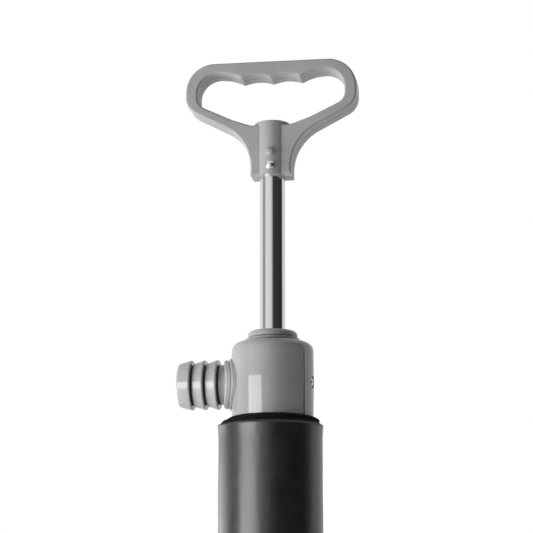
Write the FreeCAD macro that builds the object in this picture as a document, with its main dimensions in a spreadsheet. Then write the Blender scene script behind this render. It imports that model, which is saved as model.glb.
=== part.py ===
import FreeCAD, Part
import math
import os

import Sketcher

# Hand bilge pump: a barrel with a foot valve, a head with a hose spout, and a piston on a
# drawn rod with a finger-loop handle. +Z runs up the barrel, the origin is the centre of the
# foot's underside, the spout points to -X and the handle's flat front faces -Y. Millimetres.

Vector = FreeCAD.Vector
doc = FreeCAD.newDocument("bilge_pump")

# ---------------------------------------------------------------- driving dimensions

DIMENSIONS = [
    # barrel and rod
    ("barrel_radius", 25.0, "outside of the barrel tube"),
    ("bore_radius", 23.0, "bore that the piston runs in"),
    ("barrel_bottom", 23.5, "lower end of the barrel tube"),
    ("rod_radius", 9.0, "outside of the piston rod"),
    ("rod_wall", 1.2, "wall of the rod tube"),
    ("running_gap", 0.06, "radial clearance of sliding and turning fits"),
    ("glue_gap", 0.05, "clearance of glued and screwed joints"),
    ("press_gap", 0.02, "clearance of pressed joints"),
    ("slip_gap", 0.2, "clearance of parts that only pass each other"),
    ("edge_break", 1.0, "small chamfers on turned edges"),
    ("drawn", 108.0, "how far the rod is drawn out at rest"),
    # float sleeve
    ("float_bottom", 100.0, "lower end of the float"),
    ("float_top", 390.0, "outer edge of the float's upper bevel"),
    ("float_radius", 36.0, "outside of the float"),
    ("float_lip", 0.9, "how far the upper rim flares"),
    ("lip_depth", 9.0, "how far down the rim's flare reaches"),
    ("bevel_height", 6.3, "height of the upper bevel"),
    ("lower_bevel", 6.0, "bevel round the float's lower end"),
    # pump head
    ("head_radius", 28.9, "head at its parting line"),
    ("head_draft", 0.55, "how much the head narrows below its parting line"),
    ("shoulder_draft", 0.15, "how much the head narrows above its parting line"),
    ("head_height", 58.6, "head's roof above the float's edge"),
    ("head_skirt", 10.0, "how far the head reaches down inside the float"),
    ("head_roof", 8.6, "thickness of the head's roof"),
    ("head_round", 6.2, "rounding of the head's shoulder"),
    ("spout_height", 30.0, "spout axis above the float's edge"),
    ("parting_height", 32.0, "parting line above the float's edge"),
    ("flange_radius", 19.3, "raised disc under the gland nut"),
    ("flange_height", 2.7, "height of the raised disc"),
    ("undercut_height", 1.2, "height of the groove round the disc's foot"),
    ("undercut_depth", 1.8, "depth of that groove"),
    ("gland_radius", 17.6, "collar of the gland nut"),
    ("gland_height", 5.4, "collar and neck of the gland nut"),
    ("gland_neck", 0.8, "gap between the collar and the raised disc"),
    ("gland_round", 3.0, "rounding of the collar's top"),
    ("thread_radius", 14.0, "gland thread in the head"),
    ("seal_groove", 3.5, "seal groove above the head's lower end"),
    ("seal_height", 3.0, "height of the seal groove"),
    ("seal_depth", 1.6, "depth of the seal groove"),
    ("wiper_radius", 12.0, "pocket for the rod's wiper"),
    ("wiper_height", 5.6, "height of the wiper"),
    ("bush_flange", 2.3, "thickness of the guide bush's flange"),
    # outlet spout
    ("spout_bore", 12.2, "bore of the spout"),
    ("spigot_radius", 14.5, "spigot that passes through head and barrel"),
    ("barb_radius", 17.5, "crests of the hose barbs"),
    ("barb_valley", 14.4, "neck and grooves between the hose barbs"),
    ("barb_pitch", 9.3, "distance from crest to crest"),
    ("first_crest", 38.4, "innermost crest from the pump's axis"),
    ("barb_land", 0.5, "flat on each crest"),
    ("barb_rim", 0.8, "rounding behind each crest"),
    ("barb_start", 15.2, "thin end of each barb's cone"),
    ("groove_width", 1.2, "groove behind each crest"),
    ("spout_tip", 66.0, "spout's mouth from the pump's axis"),
    ("tip_round", 2.4, "rounding of the spout's mouth"),
    ("ring_radius", 17.1, "saddle ring round the spout's root"),
    ("ring_outer", 33.4, "outer saddle radius of the ring about the pump's axis"),
    ("ring_edge_round", 0.6, "rounding of the saddle ring's edges"),
    ("collar_radius", 18.4, "low saddle collar on the head, under the ring"),
    ("collar_height", 0.8, "how far that collar stands off the head"),
    # handle
    ("grip_bottom", 178.6, "underside of the handle's boss above the float's edge"),
    ("grip_top", 263.1, "top of the handle above the float's edge"),
    ("grip_depth", 20.0, "thickness of the handle, front to back"),
    ("grip_half_width", 61.8, "half the handle's width"),
    ("grip_knee", 229.8, "where the side meets the lower arm"),
    ("grip_crotch", 205.0, "where the lower arm meets the boss block"),
    ("block_half_width", 14.6, "half the width of the block round the boss"),
    ("corner_round", 20.8, "rounding of the upper corners"),
    ("knee_round", 13.5, "rounding under the sides"),
    ("crotch_round", 34.0, "sweep from the arms into the block"),
    ("loop_half_width", 53.3, "half the width of the finger loop"),
    ("loop_top", 255.7, "highest part of the finger loop"),
    ("loop_knee", 232.4, "where the loop's side meets its floor"),
    ("loop_elbow_x", 28.0, "bend in the loop's floor"),
    ("loop_elbow", 220.3, "height of that bend"),
    ("loop_floor", 215.6, "floor of the loop beside the boss"),
    ("loop_corner_round", 14.8, "rounding of the loop's upper corners"),
    ("loop_knee_round", 9.0, "rounding of the loop's lower corners"),
    ("finger_pitch", 21.1, "distance between the cusps of the finger grooves"),
    ("finger_cusp", 251.0, "height of the cusps"),
    ("finger_radius", 28.0, "curve of the two inner grooves"),
    ("outer_groove_x", 38.6, "highest point of the outer grooves"),
    ("outer_groove_radius", 34.6, "curve of the two outer grooves"),
    ("cusp_round", 2.5, "rounding of the cusps between the grooves"),
    ("edge_round", 1.4, "rounding along the handle's edges"),
    ("boss_radius", 12.7, "round boss on the rod"),
    ("boss_top", 218.3, "top of the boss above the float's edge"),
    ("boss_round", 0.8, "rounding of the boss's top"),
    ("rod_socket", 33.0, "depth of the rod's socket in the boss"),
    ("upper_pin", 194.8, "upper cross pin above the float's edge"),
    ("lower_rivet", 184.9, "lower rivet above the float's edge"),
    ("pin_radius", 2.2, "shank of the cross pins"),
    ("dome_radius", 3.3, "domed heads of the cross pins"),
    ("dome_height", 1.9, "height of the domed heads"),
    # self-tapping screws
    ("pilot_radius", 1.7, "pilot holes of the screws"),
    ("screw_radius", 1.65, "shank of the screws"),
    ("screw_head", 3.2, "head of the screws"),
    ("screw_recess", 4.4, "recess round the head screw"),
    ("recess_depth", 1.9, "depth of that recess"),
    # piston, heights above the piston's lowest point
    ("piston_bottom", 62.0, "lowest point of the piston with the rod pushed home"),
    ("piston_radius", 22.5, "rigid discs of the piston"),
    ("piston_hub", 19.0, "hub inside the cup seal"),
    ("stud_radius", 4.0, "stud below the rod"),
    ("shoulder_radius", 5.5, "shoulder that the piston valve slides on"),
    ("hub_height", 8.0, "height of the hub inside the cup seal"),
    ("disc_thickness", 6.0, "lower piston disc"),
    ("plate_thickness", 4.0, "upper piston disc"),
    ("port_radius", 3.2, "ports through the piston"),
    ("port_circle", 12.5, "circle that those ports lie on"),
    ("nut_height", 5.0, "nut under the piston"),
    ("nut_corner", 7.2, "nut across its corners, halved"),
    ("washer_radius", 8.5, "washer under the piston"),
    ("washer_thickness", 1.5, "washer under the piston"),
    ("plug_length", 18.0, "how far the plug reaches up the rod"),
    ("bump_height", 5.0, "rubber ring that ends the upstroke"),
    ("bump_thickness", 3.0, "wall of that rubber ring"),
    ("cup_gap", 0.3, "clearance between cup seal and piston"),
    ("valve_radius", 17.0, "both rubber valve discs"),
    ("valve_thickness", 2.0, "both rubber valve discs"),
    ("valve_lift", 3.3, "travel of the valve discs"),
    ("valve_gap", 0.3, "gap under a closed valve disc"),
    # foot
    ("foot_radius", 29.0, "outside of the strainer"),
    ("foot_height", 44.0, "height of the strainer"),
    ("foot_floor", 3.0, "thickness of the strainer's floor"),
    ("seat_bottom", 18.0, "ledge that carries the valve seat"),
    ("seat_thickness", 4.0, "valve seat plate"),
    ("seat_port_radius", 3.6, "ports through the valve seat"),
    ("seat_port_circle", 10.5, "circle that those ports lie on"),
    ("stem_head", 5.0, "head of the foot valve's stem"),
    ("foot_ledge", 3.0, "wall of the strainer's skirt inside the socket"),
    ("slot_half_width", 3.0, "half the width of the strainer's slots"),
    ("floor_hole", 2.4, "holes in the strainer's floor"),
    ("inner_hole_circle", 8.0, "inner ring of floor holes"),
    ("outer_hole_circle", 16.5, "outer ring of floor holes"),
    ("foot_screw_z", 34.0, "height of the foot's screws"),
]

sheet = doc.addObject("Spreadsheet::Sheet", "dims")
for row, (alias, value, note) in enumerate(DIMENSIONS, start=1):
    sheet.set("A%d" % row, alias)
    sheet.set("B%d" % row, str(value))
    sheet.setAlias("B%d" % row, alias)
    sheet.set("C%d" % row, note)
doc.recompute()


class Size:
    """A length from the sheet: its number now, and the expression that keeps it bound."""

    def __init__(self, value, text):
        self.value = value
        self.text = text

    def joined(self, other, sign, value):
        other = as_size(other)
        return Size(value(self.value, other.value), "(%s %s %s)" % (self.text, sign, other.text))

    def __add__(self, other):
        return self.joined(other, "+", lambda a, b: a + b)

    def __sub__(self, other):
        return self.joined(other, "-", lambda a, b: a - b)

    def __mul__(self, other):
        return self.joined(other, "*", lambda a, b: a * b)

    def __truediv__(self, other):
        return self.joined(other, "/", lambda a, b: a / b)

    def __neg__(self):
        return Size(-self.value, "(0 - %s)" % self.text)


def as_size(number):
    """A plain number as a Size, so that both can be added up."""
    if isinstance(number, Size):
        return number
    return Size(float(number), repr(float(number)))


class Dims:
    """Reads the sheet by alias: dim.rod_radius is the bound rod radius."""

    def __getattr__(self, alias):
        return Size(float(sheet.get(alias)), "dims." + alias)


dim = Dims()
ZERO = as_size(0)

# ---------------------------------------------------------------- sketching and features


def new_body(label):
    """An empty body for one sub-part."""
    body = doc.addObject("PartDesign::Body", label)
    body.Label = label
    return body


def new_sketch(body, plane, offset=None):
    """A sketch on one of the body's origin planes, moved along its normal by offset."""
    sketch = body.newObject("Sketcher::SketchObject", body.Label + "_sketch")
    support = [item for item in body.Origin.OriginFeatures if item.Role == plane][0]
    sketch.AttachmentSupport = [(support, "")]
    sketch.MapMode = "FlatFace"
    if offset is not None:
        sketch.setExpression("AttachmentOffset.Base.z", offset.text)
    return sketch


def bind(sketch, kind, geometry, point, size):
    """Holds one coordinate of a sketch point, or a radius, to an expression."""
    if kind == "Radius":
        index = sketch.addConstraint(Sketcher.Constraint(kind, geometry, size.value))
    else:
        constraint = Sketcher.Constraint(kind, -1, 1, geometry, point, size.value)
        index = sketch.addConstraint(constraint)
    sketch.setExpression("Constraints[%d]" % index, size.text)


def arc_between(start, end, radius):
    """The short arc from start to end: it bulges to the left where radius is positive."""
    chord = end - start
    middle = (start + end) * 0.5
    left = Vector(-chord.y, chord.x, 0).normalize()
    side = math.copysign(1, radius)
    reach = math.sqrt(radius ** 2 - (chord.Length / 2) ** 2)
    centre = middle - left * (side * reach)
    crown = centre + left * (side * abs(radius))
    return Part.Arc(start, crown, end)


def add_outline(sketch, corners):
    """A closed outline. A corner is (x, y), or (x, y, radius) where an arc follows it."""
    corners = [tuple(as_size(number) for number in corner) for corner in corners]
    count = len(corners)
    points = [Vector(corner[0].value, corner[1].value, 0) for corner in corners]
    first = sketch.GeometryCount
    starts = []
    for number, corner in enumerate(corners):
        start = points[number]
        end = points[(number + 1) % count]
        if len(corner) == 3:
            sketch.addGeometry(arc_between(start, end, corner[2].value), False)
        else:
            sketch.addGeometry(Part.LineSegment(start, end), False)
        edge = sketch.Geometry[first + number]
        opens_at_start = edge.StartPoint.distanceToPoint(start) < 1e-6
        starts.append(1 if opens_at_start else 2)
    for number, corner in enumerate(corners):
        after = (number + 1) % count
        here = first + number
        link = (here, 3 - starts[number], first + after, starts[after])
        sketch.addConstraint(Sketcher.Constraint("Coincident", *link))
        bind(sketch, "DistanceX", here, starts[number], corner[0])
        bind(sketch, "DistanceY", here, starts[number], corner[1])
        if len(corner) == 3:
            bind(sketch, "Radius", here, 0, Size(abs(corner[2].value), "abs(%s)" % corner[2].text))


def swing(sketch, angle, reach=ZERO):
    """Swings a sketch on the YZ plane about the pump's axis, and moves it out by reach."""
    turn = FreeCAD.Rotation(Vector(0, 1, 0), angle)
    out = turn.multVec(Vector(0, 0, 1))
    sketch.AttachmentOffset = FreeCAD.Placement(out * reach.value, turn)
    sketch.setExpression("AttachmentOffset.Base.x", (reach * out.x).text)
    sketch.setExpression("AttachmentOffset.Base.z", (reach * out.z).text)


def add_circle(sketch, x, y, radius):
    """A circle with its centre and radius bound."""
    x, y, radius = as_size(x), as_size(y), as_size(radius)
    circle = Part.Circle(Vector(x.value, y.value, 0), Vector(0, 0, 1), radius.value)
    index = sketch.addGeometry(circle, False)
    bind(sketch, "DistanceX", index, 3, x)
    bind(sketch, "DistanceY", index, 3, y)
    bind(sketch, "Radius", index, 0, radius)


def finish(body, feature, grows):
    """Recomputes, and stops if the feature failed or changed nothing."""
    before = body.Shape.Volume if body.Shape and not body.Shape.isNull() else 0.0
    doc.recompute()
    after = body.Shape.Volume
    if "Up-to-date" not in feature.State or body.Shape.isNull():
        raise RuntimeError("%s of %s failed: %s" % (feature.Name, body.Label, feature.State))
    if grows is True and after <= before or grows is False and after >= before:
        raise RuntimeError("%s of %s changed nothing" % (feature.Name, body.Label))
    return feature


def turned(label, outline):
    """A body turned about its own Z axis from a closed (radius, height) outline."""
    body = new_body(label)
    add_turning(body, outline, "PartDesign::Revolution")
    return body


def add_turning(body, outline, kind):
    """A Revolution that adds, or a Groove that cuts, about the body's Z axis."""
    sketch = new_sketch(body, "XZ_Plane")
    add_outline(sketch, outline)
    feature = body.newObject(kind, body.Label + "_turning")
    feature.Profile = sketch
    feature.ReferenceAxis = (sketch, ["V_Axis"])
    feature.Angle = 360
    return finish(body, feature, kind == "PartDesign::Revolution")


def sleeve_outline(inner, outer, bottom, top):
    """The (radius, height) outline of a plain ring."""
    return [(inner, bottom), (outer, bottom), (outer, top), (inner, top)]


def pad(body, sketch, length, reverse=False, symmetric=False):
    """Extrudes a sketch along its normal."""
    feature = body.newObject("PartDesign::Pad", body.Label + "_pad")
    feature.Profile = sketch
    feature.setExpression("Length", length.text)
    feature.Reversed = reverse
    if symmetric:
        feature.SideType = "Symmetric"
    return finish(body, feature, True)


def pocket(body, sketch, reverse=False, symmetric=False, depth=None):
    """Cuts a sketch through everything on one side of it or on both, or to a depth."""
    feature = body.newObject("PartDesign::Pocket", body.Label + "_pocket")
    feature.Profile = sketch
    feature.Reversed = reverse
    if symmetric:
        feature.SideType = "Symmetric"
    if depth is None:
        feature.Type = "ThroughAll"
    else:
        feature.setExpression("Length", depth.text)
    return finish(body, feature, False)


def round_edges(body, radius, chosen):
    """Fillets the edges of the body's tip that the chosen function picks."""
    names = ["Edge%d" % n for n, edge in enumerate(body.Shape.Edges, start=1) if chosen(edge)]
    if not names:
        raise RuntimeError("no edge to round on %s" % body.Label)
    base = body.Tip
    feature = body.newObject("PartDesign::Fillet", body.Label + "_round")
    feature.Base = (base, names)
    feature.setExpression("Radius", radius.text)
    return finish(body, feature, None)


def saddle_edge(spout_radius, saddle_radius, spout_axis, saddle_axis):
    """Picks edges where a round boss meets a saddle, each given by its radius and axis."""

    def chosen(edge):
        middle = edge.valueAt((edge.FirstParameter + edge.LastParameter) / 2)
        on_boss = abs(middle.distanceToLine(*spout_axis) - spout_radius.value) < 0.05
        on_saddle = abs(middle.distanceToLine(*saddle_axis) - saddle_radius.value) < 0.05
        return on_boss and on_saddle

    return chosen


def ring_edge(radius, height):
    """Picks circles about Z with this radius at this height."""

    def chosen(edge):
        if not isinstance(edge.Curve, Part.Circle):
            return False
        centre = edge.Curve.Center
        on_axis = math.hypot(centre.x, centre.y) < 0.01
        fits = abs(edge.Curve.Radius - radius.value) < 0.01
        return on_axis and fits and abs(centre.z - height.value) < 0.01

    return chosen


def depth_edge(x, height):
    """Picks straight edges that run front to back at +-x and this height."""

    def chosen(edge):
        box = edge.BoundBox
        if box.YLength < 1 or box.XLength > 0.01 or box.ZLength > 0.01:
            return False
        return abs(abs(box.XMin) - x.value) < 0.01 and abs(box.ZMin - height.value) < 0.01

    return chosen


def polar(body, feature, count):
    """Repeats a feature evenly about Z."""
    pattern = body.newObject("PartDesign::PolarPattern", body.Label + "_pattern")
    pattern.Originals = [feature]
    axis = [item for item in body.Origin.OriginFeatures if item.Role == "Z_Axis"][0]
    pattern.Axis = (axis, [""])
    pattern.Angle = 360
    pattern.Occurrences = count
    body.Tip = pattern
    return finish(body, pattern, None)


def ring_of_holes(body, radius, circle, count):
    """Round holes up through the body, evenly spaced about its axis."""
    sketch = new_sketch(body, "XY_Plane")
    add_circle(sketch, circle, 0, radius)
    polar(body, pocket(body, sketch, reverse=True), count)


def saddle_cut(body, plane, radius, outside=False):
    """Cuts away what is inside, or outside, a cylinder across the given plane."""
    sketch = new_sketch(body, plane)
    if outside:
        add_circle(sketch, 0, 0, radius * 3)
    add_circle(sketch, 0, 0, radius)
    return pocket(body, sketch, reverse=True, symmetric=True)


def lie_along(body, axis, x, z, y=ZERO):
    """Turns a body made about Z to lie along another axis, at this place."""
    turn = FreeCAD.Rotation(Vector(0, 0, 1), axis)
    body.Placement = FreeCAD.Placement(Vector(0, 0, 0), turn)
    for letter, place in (("x", x), ("y", y), ("z", z)):
        body.setExpression("Placement.Base." + letter, place.text)


# ---------------------------------------------------------------- levels up the pump

edge_z = dim.float_top
spout_z = edge_z + dim.spout_height
head_top = edge_z + dim.head_height
head_ceiling = head_top - dim.head_roof
flange_top = head_top + dim.flange_height
gland_top = flange_top + dim.gland_height
skirt_bottom = edge_z - dim.head_skirt
collar_saddle = dim.head_radius + dim.collar_height
barrel_top = head_ceiling - 0.5
thread_bottom = head_ceiling + 2
bush_bottom = edge_z + 13
piston_z = dim.piston_bottom + dim.drawn
cup_bottom = piston_z + 14
plate_top = piston_z + 26
valve_stop = plate_top + dim.valve_gap + dim.valve_thickness + dim.valve_lift
rod_bottom = valve_stop + 4
grip_bottom = edge_z + dim.grip_bottom
seat_top = dim.seat_bottom + dim.seat_thickness
foot_valve_z = seat_top + dim.valve_gap
stem_stop = foot_valve_z + dim.valve_thickness + dim.valve_lift


# ---------------------------------------------------------------- barrel and float


def barrel_tube():
    """The pump's cylinder, with a round port near its top for the spout's spigot."""
    bottom = dim.barrel_bottom
    body = turned("barrel_tube", sleeve_outline(dim.bore_radius, dim.barrel_radius, bottom, barrel_top))
    port = new_sketch(body, "YZ_Plane")
    add_circle(port, 0, spout_z, dim.spigot_radius + dim.slip_gap)
    pocket(body, port)
    drill_head_screw(body)
    drill_foot(body)
    return body


def float_sleeve():
    """The closed-cell foam float: counterbored over the head, bevelled at both ends."""
    bore = dim.barrel_radius + dim.slip_gap
    head_bore = dim.head_radius + dim.slip_gap
    counterbore = skirt_bottom - dim.edge_break
    rim = dim.float_radius + dim.float_lip
    return turned("float_sleeve", [
        (bore, dim.float_bottom),
        (dim.float_radius - dim.lower_bevel, dim.float_bottom),
        (dim.float_radius, dim.float_bottom + dim.lower_bevel),
        (dim.float_radius, edge_z - dim.lip_depth),
        (rim, edge_z),
        (head_bore, edge_z + dim.bevel_height),
        (head_bore, counterbore),
        (bore, counterbore),
    ])


# ---------------------------------------------------------------- head, gland and spout


HEAD_SCREW_ANGLE = -6


def drill_head_screw(body):
    """The hole for the screw that locks the head to the barrel."""
    sketch = new_sketch(body, "YZ_Plane")
    swing(sketch, HEAD_SCREW_ANGLE)
    add_circle(sketch, 0, spout_z, dim.pilot_radius)
    pocket(body, sketch, reverse=True)


def pump_head():
    """The head: a drafted cap with a rounded shoulder, a raised disc and a spout collar."""
    skirt = dim.head_radius - dim.head_draft
    shoulder = dim.head_radius - dim.shoulder_draft
    body = turned("pump_head", [
        (0, skirt_bottom),
        (skirt, skirt_bottom),
        (dim.head_radius, edge_z + dim.parting_height),
        (shoulder, head_top),
        (0, head_top),
    ])
    round_edges(body, dim.head_round, ring_edge(shoulder, head_top))
    sunk = as_size(1)
    disc = new_sketch(body, "XY_Plane", head_top - sunk)
    add_circle(disc, 0, 0, dim.flange_radius)
    pad(body, disc, dim.flange_height + sunk)
    rounding = as_size(0.6)
    round_edges(body, rounding, ring_edge(dim.flange_radius, flange_top))
    clear = as_size(1)
    add_turning(body, [
        (dim.flange_radius - dim.undercut_depth, head_top),
        (dim.flange_radius + clear, head_top),
        (dim.flange_radius + clear, head_top + dim.undercut_height),
        (dim.flange_radius - dim.undercut_depth, head_top + dim.undercut_height),
    ], "PartDesign::Groove")

    collar = new_sketch(body, "YZ_Plane")
    add_circle(collar, 0, spout_z, dim.collar_radius)
    pad(body, collar, collar_saddle * 1.2, reverse=True)
    saddle_cut(body, "XY_Plane", collar_saddle, outside=True)
    spout_axis = (Vector(0, 0, spout_z.value), Vector(1, 0, 0))
    pump_axis = (Vector(0, 0, 0), Vector(0, 0, 1))
    collar_round = as_size(0.5)
    round_edges(body, collar_round, saddle_edge(dim.collar_radius, collar_saddle, spout_axis, pump_axis))

    socket = dim.barrel_radius + dim.glue_gap
    seal = socket + dim.seal_depth
    groove_bottom = skirt_bottom + dim.seal_groove
    groove_top = groove_bottom + dim.seal_height
    thread_core = dim.thread_radius - 1.8
    add_turning(body, [
        (0, skirt_bottom - clear),
        (socket, skirt_bottom - clear),
        (socket, groove_bottom),
        (seal, groove_bottom),
        (seal, groove_top),
        (socket, groove_top),
        (socket, head_ceiling),
        (thread_core, head_ceiling),
        (thread_core, thread_bottom),
        (dim.thread_radius, thread_bottom),
        (dim.thread_radius, flange_top + clear),
        (0, flange_top + clear),
    ], "PartDesign::Groove")
    port = new_sketch(body, "YZ_Plane")
    add_circle(port, 0, spout_z, dim.spigot_radius + dim.glue_gap)
    pocket(body, port)
    drill_head_screw(body)
    recess = new_sketch(body, "YZ_Plane")
    swing(recess, HEAD_SCREW_ANGLE, dim.head_radius - dim.recess_depth)
    add_circle(recess, 0, spout_z, dim.screw_recess)
    pocket(body, recess, reverse=True)
    return body


def head_seal():
    """The rubber ring between head and barrel."""
    squeeze = as_size(0.1)
    bottom = skirt_bottom + dim.seal_groove + squeeze
    top = skirt_bottom + dim.seal_groove + dim.seal_height - squeeze
    inner = dim.barrel_radius + dim.press_gap
    return turned("head_seal", sleeve_outline(inner, inner + dim.seal_depth - squeeze, bottom, top))


def self_tapper(label, length):
    """A dished-head screw, its head's flat underside at the origin, pointing to -Z."""
    rim_height = as_size(0.7)
    crown_width = dim.screw_head - 1.2
    crown_height = as_size(1.6)
    body = turned(label, [
        (0, -length),
        (dim.screw_radius - 0.6, -length),
        (dim.screw_radius, dim.edge_break - length),
        (dim.screw_radius, 0),
        (dim.screw_head, 0),
        (dim.screw_head, rim_height),
        (crown_width, crown_height),
        (0, crown_height),
    ])
    slot_floor = as_size(0.9)
    slot = new_sketch(body, "XY_Plane", slot_floor)
    half_long = dim.screw_head - 1.5
    half_wide = as_size(0.4)
    add_outline(slot, [
        (-half_long, -half_wide),
        (half_long, -half_wide),
        (half_long, half_wide),
        (-half_long, half_wide),
    ])
    cross = pocket(body, slot, reverse=True)
    polar(body, cross, 4)
    return body


def head_screw():
    """The screw nearly opposite the spout that locks the head to the barrel."""
    length = as_size(3.2)
    body = self_tapper("head_screw", length)
    out = FreeCAD.Rotation(Vector(0, 0, 1), HEAD_SCREW_ANGLE).multVec(Vector(1, 0, 0))
    reach = dim.head_radius - dim.recess_depth + dim.press_gap
    lie_along(body, out, reach * out.x, spout_z, reach * out.y)
    return body


def gland_nut():
    """The gland nut: a smooth collar on a short neck, threaded into the head's roof."""
    lip = dim.rod_radius + 0.35
    lip_bottom = gland_top - 2.5
    thread = dim.thread_radius - dim.glue_gap
    neck = dim.thread_radius + 1.2
    collar_bottom = flange_top + dim.gland_neck
    body = turned("gland_nut", [
        (dim.wiper_radius, thread_bottom + dim.bush_flange),
        (thread, thread_bottom + dim.bush_flange),
        (thread, flange_top),
        (neck, flange_top),
        (neck, collar_bottom),
        (dim.gland_radius, collar_bottom),
        (dim.gland_radius, gland_top),
        (lip, gland_top),
        (lip, lip_bottom),
        (dim.wiper_radius, lip_bottom),
    ])
    round_edges(body, dim.gland_round, ring_edge(dim.gland_radius, gland_top))
    return body


def gland_seal():
    """The rubber wiper that closes on the rod inside the gland nut."""
    top = gland_top - 2.6
    bottom = top - dim.wiper_height
    inner = dim.rod_radius + dim.running_gap
    outer = dim.wiper_radius - 0.1
    lead_width = as_size(0.8)
    lead_height = as_size(1.2)
    return turned("gland_seal", [
        (inner, bottom),
        (outer, bottom),
        (outer, top),
        (inner + lead_width, top),
        (inner, top - lead_height),
    ])


def rod_bush():
    """The long guide bush; its lower end stops the piston short of the spout."""
    inner = dim.rod_radius + dim.running_gap
    outer = dim.thread_radius - 1.85
    flange = dim.thread_radius - 0.15
    flange_bush_top = thread_bottom + dim.bush_flange - 0.1
    return turned("rod_bush", [
        (inner, bush_bottom),
        (outer, bush_bottom),
        (outer, thread_bottom),
        (flange, thread_bottom),
        (flange, flange_bush_top),
        (inner, flange_bush_top),
    ])


def outlet_spout():
    """The hose spout: spigot, saddle ring and three barbs, made about Z and laid to -X."""
    body = new_body("outlet_spout")
    ring_saddle = collar_saddle + dim.press_gap
    ring = new_sketch(body, "XY_Plane")
    add_circle(ring, 0, 0, dim.ring_radius)
    pad(body, ring, dim.ring_outer * 1.2)
    saddle_cut(body, "YZ_Plane", dim.ring_outer, outside=True)
    saddle_cut(body, "YZ_Plane", ring_saddle)
    spout_axis = (Vector(0, 0, 0), Vector(0, 0, 1))
    pump_axis = (Vector(0, 0, 0), Vector(1, 0, 0))
    for saddle in (dim.ring_outer, ring_saddle):
        edges = saddle_edge(dim.ring_radius, saddle, spout_axis, pump_axis)
        round_edges(body, dim.ring_edge_round, edges)

    spigot_end = 12
    barbs = [
        (0, spigot_end),
        (0, dim.spout_tip),
        (dim.barb_start, dim.spout_tip),
    ]
    backs = []
    for number in (2, 1, 0):
        crest = dim.first_crest + dim.barb_pitch * number
        back = crest - dim.barb_rim
        backs.append(back)
        barbs += [
            (dim.barb_radius, crest + dim.barb_land),
            (dim.barb_radius, back),
            (dim.barb_valley, back),
        ]
        if number > 0:
            barbs += [
                (dim.barb_valley, back - dim.groove_width),
                (dim.barb_start, back - dim.groove_width),
            ]
    root = ring_saddle + 1
    add_turning(body, barbs + [
        (dim.barb_valley, root),
        (dim.spigot_radius, root),
        (dim.spigot_radius, spigot_end),
    ], "PartDesign::Revolution")
    for back in backs:
        round_edges(body, dim.barb_rim, ring_edge(dim.barb_radius, back))
    round_edges(body, dim.tip_round, ring_edge(dim.barb_start, dim.spout_tip))
    bore = new_sketch(body, "XY_Plane")
    add_circle(bore, 0, 0, dim.spout_bore)
    pocket(body, bore, reverse=True)
    saddle_cut(body, "YZ_Plane", dim.bore_radius + dim.glue_gap)
    lie_along(body, Vector(-1, 0, 0), ZERO, spout_z)
    return body


# ---------------------------------------------------------------- foot


def foot_strainer():
    """The foot: a cup over the barrel's end with a slotted skirt and a holed floor."""
    socket = dim.barrel_radius + dim.glue_gap
    skirt = socket - dim.foot_ledge
    rim = dim.foot_radius - dim.edge_break
    body = turned("foot_strainer", [
        (0, 0),
        (rim, 0),
        (dim.foot_radius, dim.edge_break),
        (dim.foot_radius, dim.foot_height - dim.edge_break),
        (rim, dim.foot_height),
        (socket, dim.foot_height),
        (socket, dim.seat_bottom),
        (skirt, dim.seat_bottom),
        (skirt, dim.foot_floor),
        (0, dim.foot_floor),
    ])
    slot = new_sketch(body, "XZ_Plane")
    half_slot = dim.slot_half_width
    slot_bottom = dim.foot_floor + 1
    slot_top = dim.seat_bottom - 4
    add_outline(slot, [
        (-half_slot, slot_bottom),
        (half_slot, slot_bottom),
        (half_slot, slot_top),
        (-half_slot, slot_top),
    ])
    slots = 10
    polar(body, pocket(body, slot), slots)
    ring_of_holes(body, dim.floor_hole, dim.inner_hole_circle, 6)
    ring_of_holes(body, dim.floor_hole, dim.outer_hole_circle, 12)
    drill_foot(body)
    return body


FOOT_SCREW_COUNT = 3


def drill_foot(body):
    """The screw holes through the wall of the strainer or the barrel."""
    sketch = new_sketch(body, "YZ_Plane")
    add_circle(sketch, 0, dim.foot_screw_z, dim.pilot_radius)
    polar(body, pocket(body, sketch, reverse=True), FOOT_SCREW_COUNT)


def foot_screws():
    """Three screws that hold the strainer on the barrel, in one group."""
    length = as_size(5.2)
    screw = self_tapper("foot_screw_pattern", length)
    doc.recompute()
    placed = []
    lying = FreeCAD.Rotation(Vector(0, 0, 1), Vector(1, 0, 0))
    for number in range(FOOT_SCREW_COUNT):
        copy = screw.Shape.copy()
        angle = 360 / FOOT_SCREW_COUNT * number
        around = FreeCAD.Rotation(Vector(0, 0, 1), angle)
        reach = dim.foot_radius + dim.press_gap
        place = around.multVec(Vector(reach.value, 0, dim.foot_screw_z.value))
        copy.Placement = FreeCAD.Placement(place, around * lying)
        placed.append(copy)
    group = doc.addObject("Part::Feature", "foot_screws")
    group.Shape = Part.makeCompound(placed)
    return group


def valve_seat():
    """The plate under the barrel with a ring of ports that the foot valve covers."""
    hole = dim.pin_radius + dim.press_gap
    body = turned("foot_valve_seat", sleeve_outline(
        hole, dim.barrel_radius, dim.seat_bottom, seat_top))
    ring_of_holes(body, dim.seat_port_radius, dim.seat_port_circle, 6)
    return body


def foot_seal():
    """The rubber ring between the valve seat and the barrel's end."""
    return turned("foot_seal", sleeve_outline(
        dim.bore_radius, dim.barrel_radius, seat_top, dim.barrel_bottom))


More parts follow.
